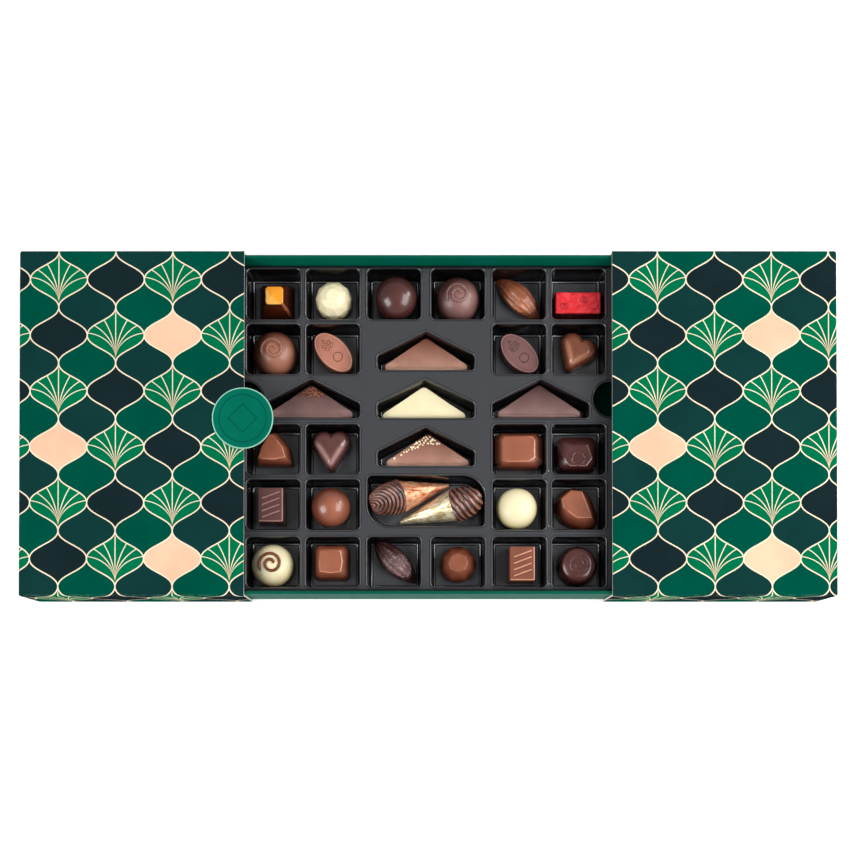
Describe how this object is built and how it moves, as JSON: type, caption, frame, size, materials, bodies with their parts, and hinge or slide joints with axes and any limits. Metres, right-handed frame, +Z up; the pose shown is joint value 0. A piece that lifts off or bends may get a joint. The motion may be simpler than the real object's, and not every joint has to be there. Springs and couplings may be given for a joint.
{
  "type": "box of chocolate pralines",
  "caption": "Open gift box of chocolate pralines: two printed sleeves drawn apart over a tray with moulded pralines in cups.",
  "frame": {"origin": "on the table, under the middle of the open box", "axes": "+X along the way the sleeves slide, to the right; +Y towards the back; +Z up"},
  "size_m": [0.555, 0.235, 0.0391],
  "materials": {
    "printed_board": "satin printed board, ogee lattice in greens with copper and pale gold",
    "green_board": "satin coated board, plain green",
    "seal_card": "satin printed card disc with a pale rim",
    "black_sheet": "thermoformed sheet, soft satin",
    "dark_chocolate": "moulded dark chocolate, tempered gloss",
    "milk_chocolate": "moulded milk chocolate, satin gloss",
    "white_chocolate": "moulded white chocolate, satin gloss",
    "orange_glaze": "moulded orange fruit paste, glossy",
    "red_foil": "red printed aluminium foil, fine creases",
    "bronze_lustre": "chocolate dusted with bronze lustre",
    "gold_lustre": "chocolate dusted with gold lustre"
  },
  "bodies": {
    "tray": {"tray_box": "green_board", "insert": "black_sheet", "orange_praline": "dark_chocolate", "dark_ball_praline": "dark_chocolate", "dark_scroll_praline": "dark_chocolate", "dark_medallion": "dark_chocolate", "dark_triangle": "dark_chocolate", "nib_triangle": "dark_chocolate", "dark_heart": "dark_chocolate", "dark_ring_praline": "dark_chocolate", "dark_bar": "dark_chocolate", "dark_pod_praline": "dark_chocolate", "dark_round_praline": "dark_chocolate", "milk_pod_praline": "milk_chocolate", "milk_scroll_praline": "milk_chocolate", "milk_medallion": "milk_chocolate", "milk_heart": "milk_chocolate", "milk_triangle": "milk_chocolate", "gold_nib_triangle": "milk_chocolate", "milk_shield": "milk_chocolate", "milk_brick": "milk_chocolate", "left_swirl": "milk_chocolate", "right_swirl": "milk_chocolate", "milk_bar": "milk_chocolate", "milk_ball_praline": "milk_chocolate", "milk_teardrop": "milk_chocolate", "milk_square": "milk_chocolate", "milk_gem_praline": "milk_chocolate", "white_gem_praline": "white_chocolate", "white_triangle": "white_chocolate", "white_dome_praline": "white_chocolate", "white_scroll_praline": "white_chocolate", "orange_cap": "orange_glaze", "foil_bar": "red_foil", "bronze_cone": "bronze_lustre", "gold_cone": "gold_lustre"},
    "sleeve_left": {"left_sleeve": "printed_board", "seal": "seal_card"},
    "sleeve_right": {"right_sleeve": "printed_board"}
  },
  "joints": [
    {"name": "left_slide", "type": "slide", "parent": "tray", "child": "sleeve_left", "axis": [1, 0, 0], "range_m": [0, 0.1245]},
    {"name": "right_slide", "type": "slide", "parent": "tray", "child": "sleeve_right", "axis": [-1, 0, 0], "range_m": [0, 0.1245]}
  ]
}
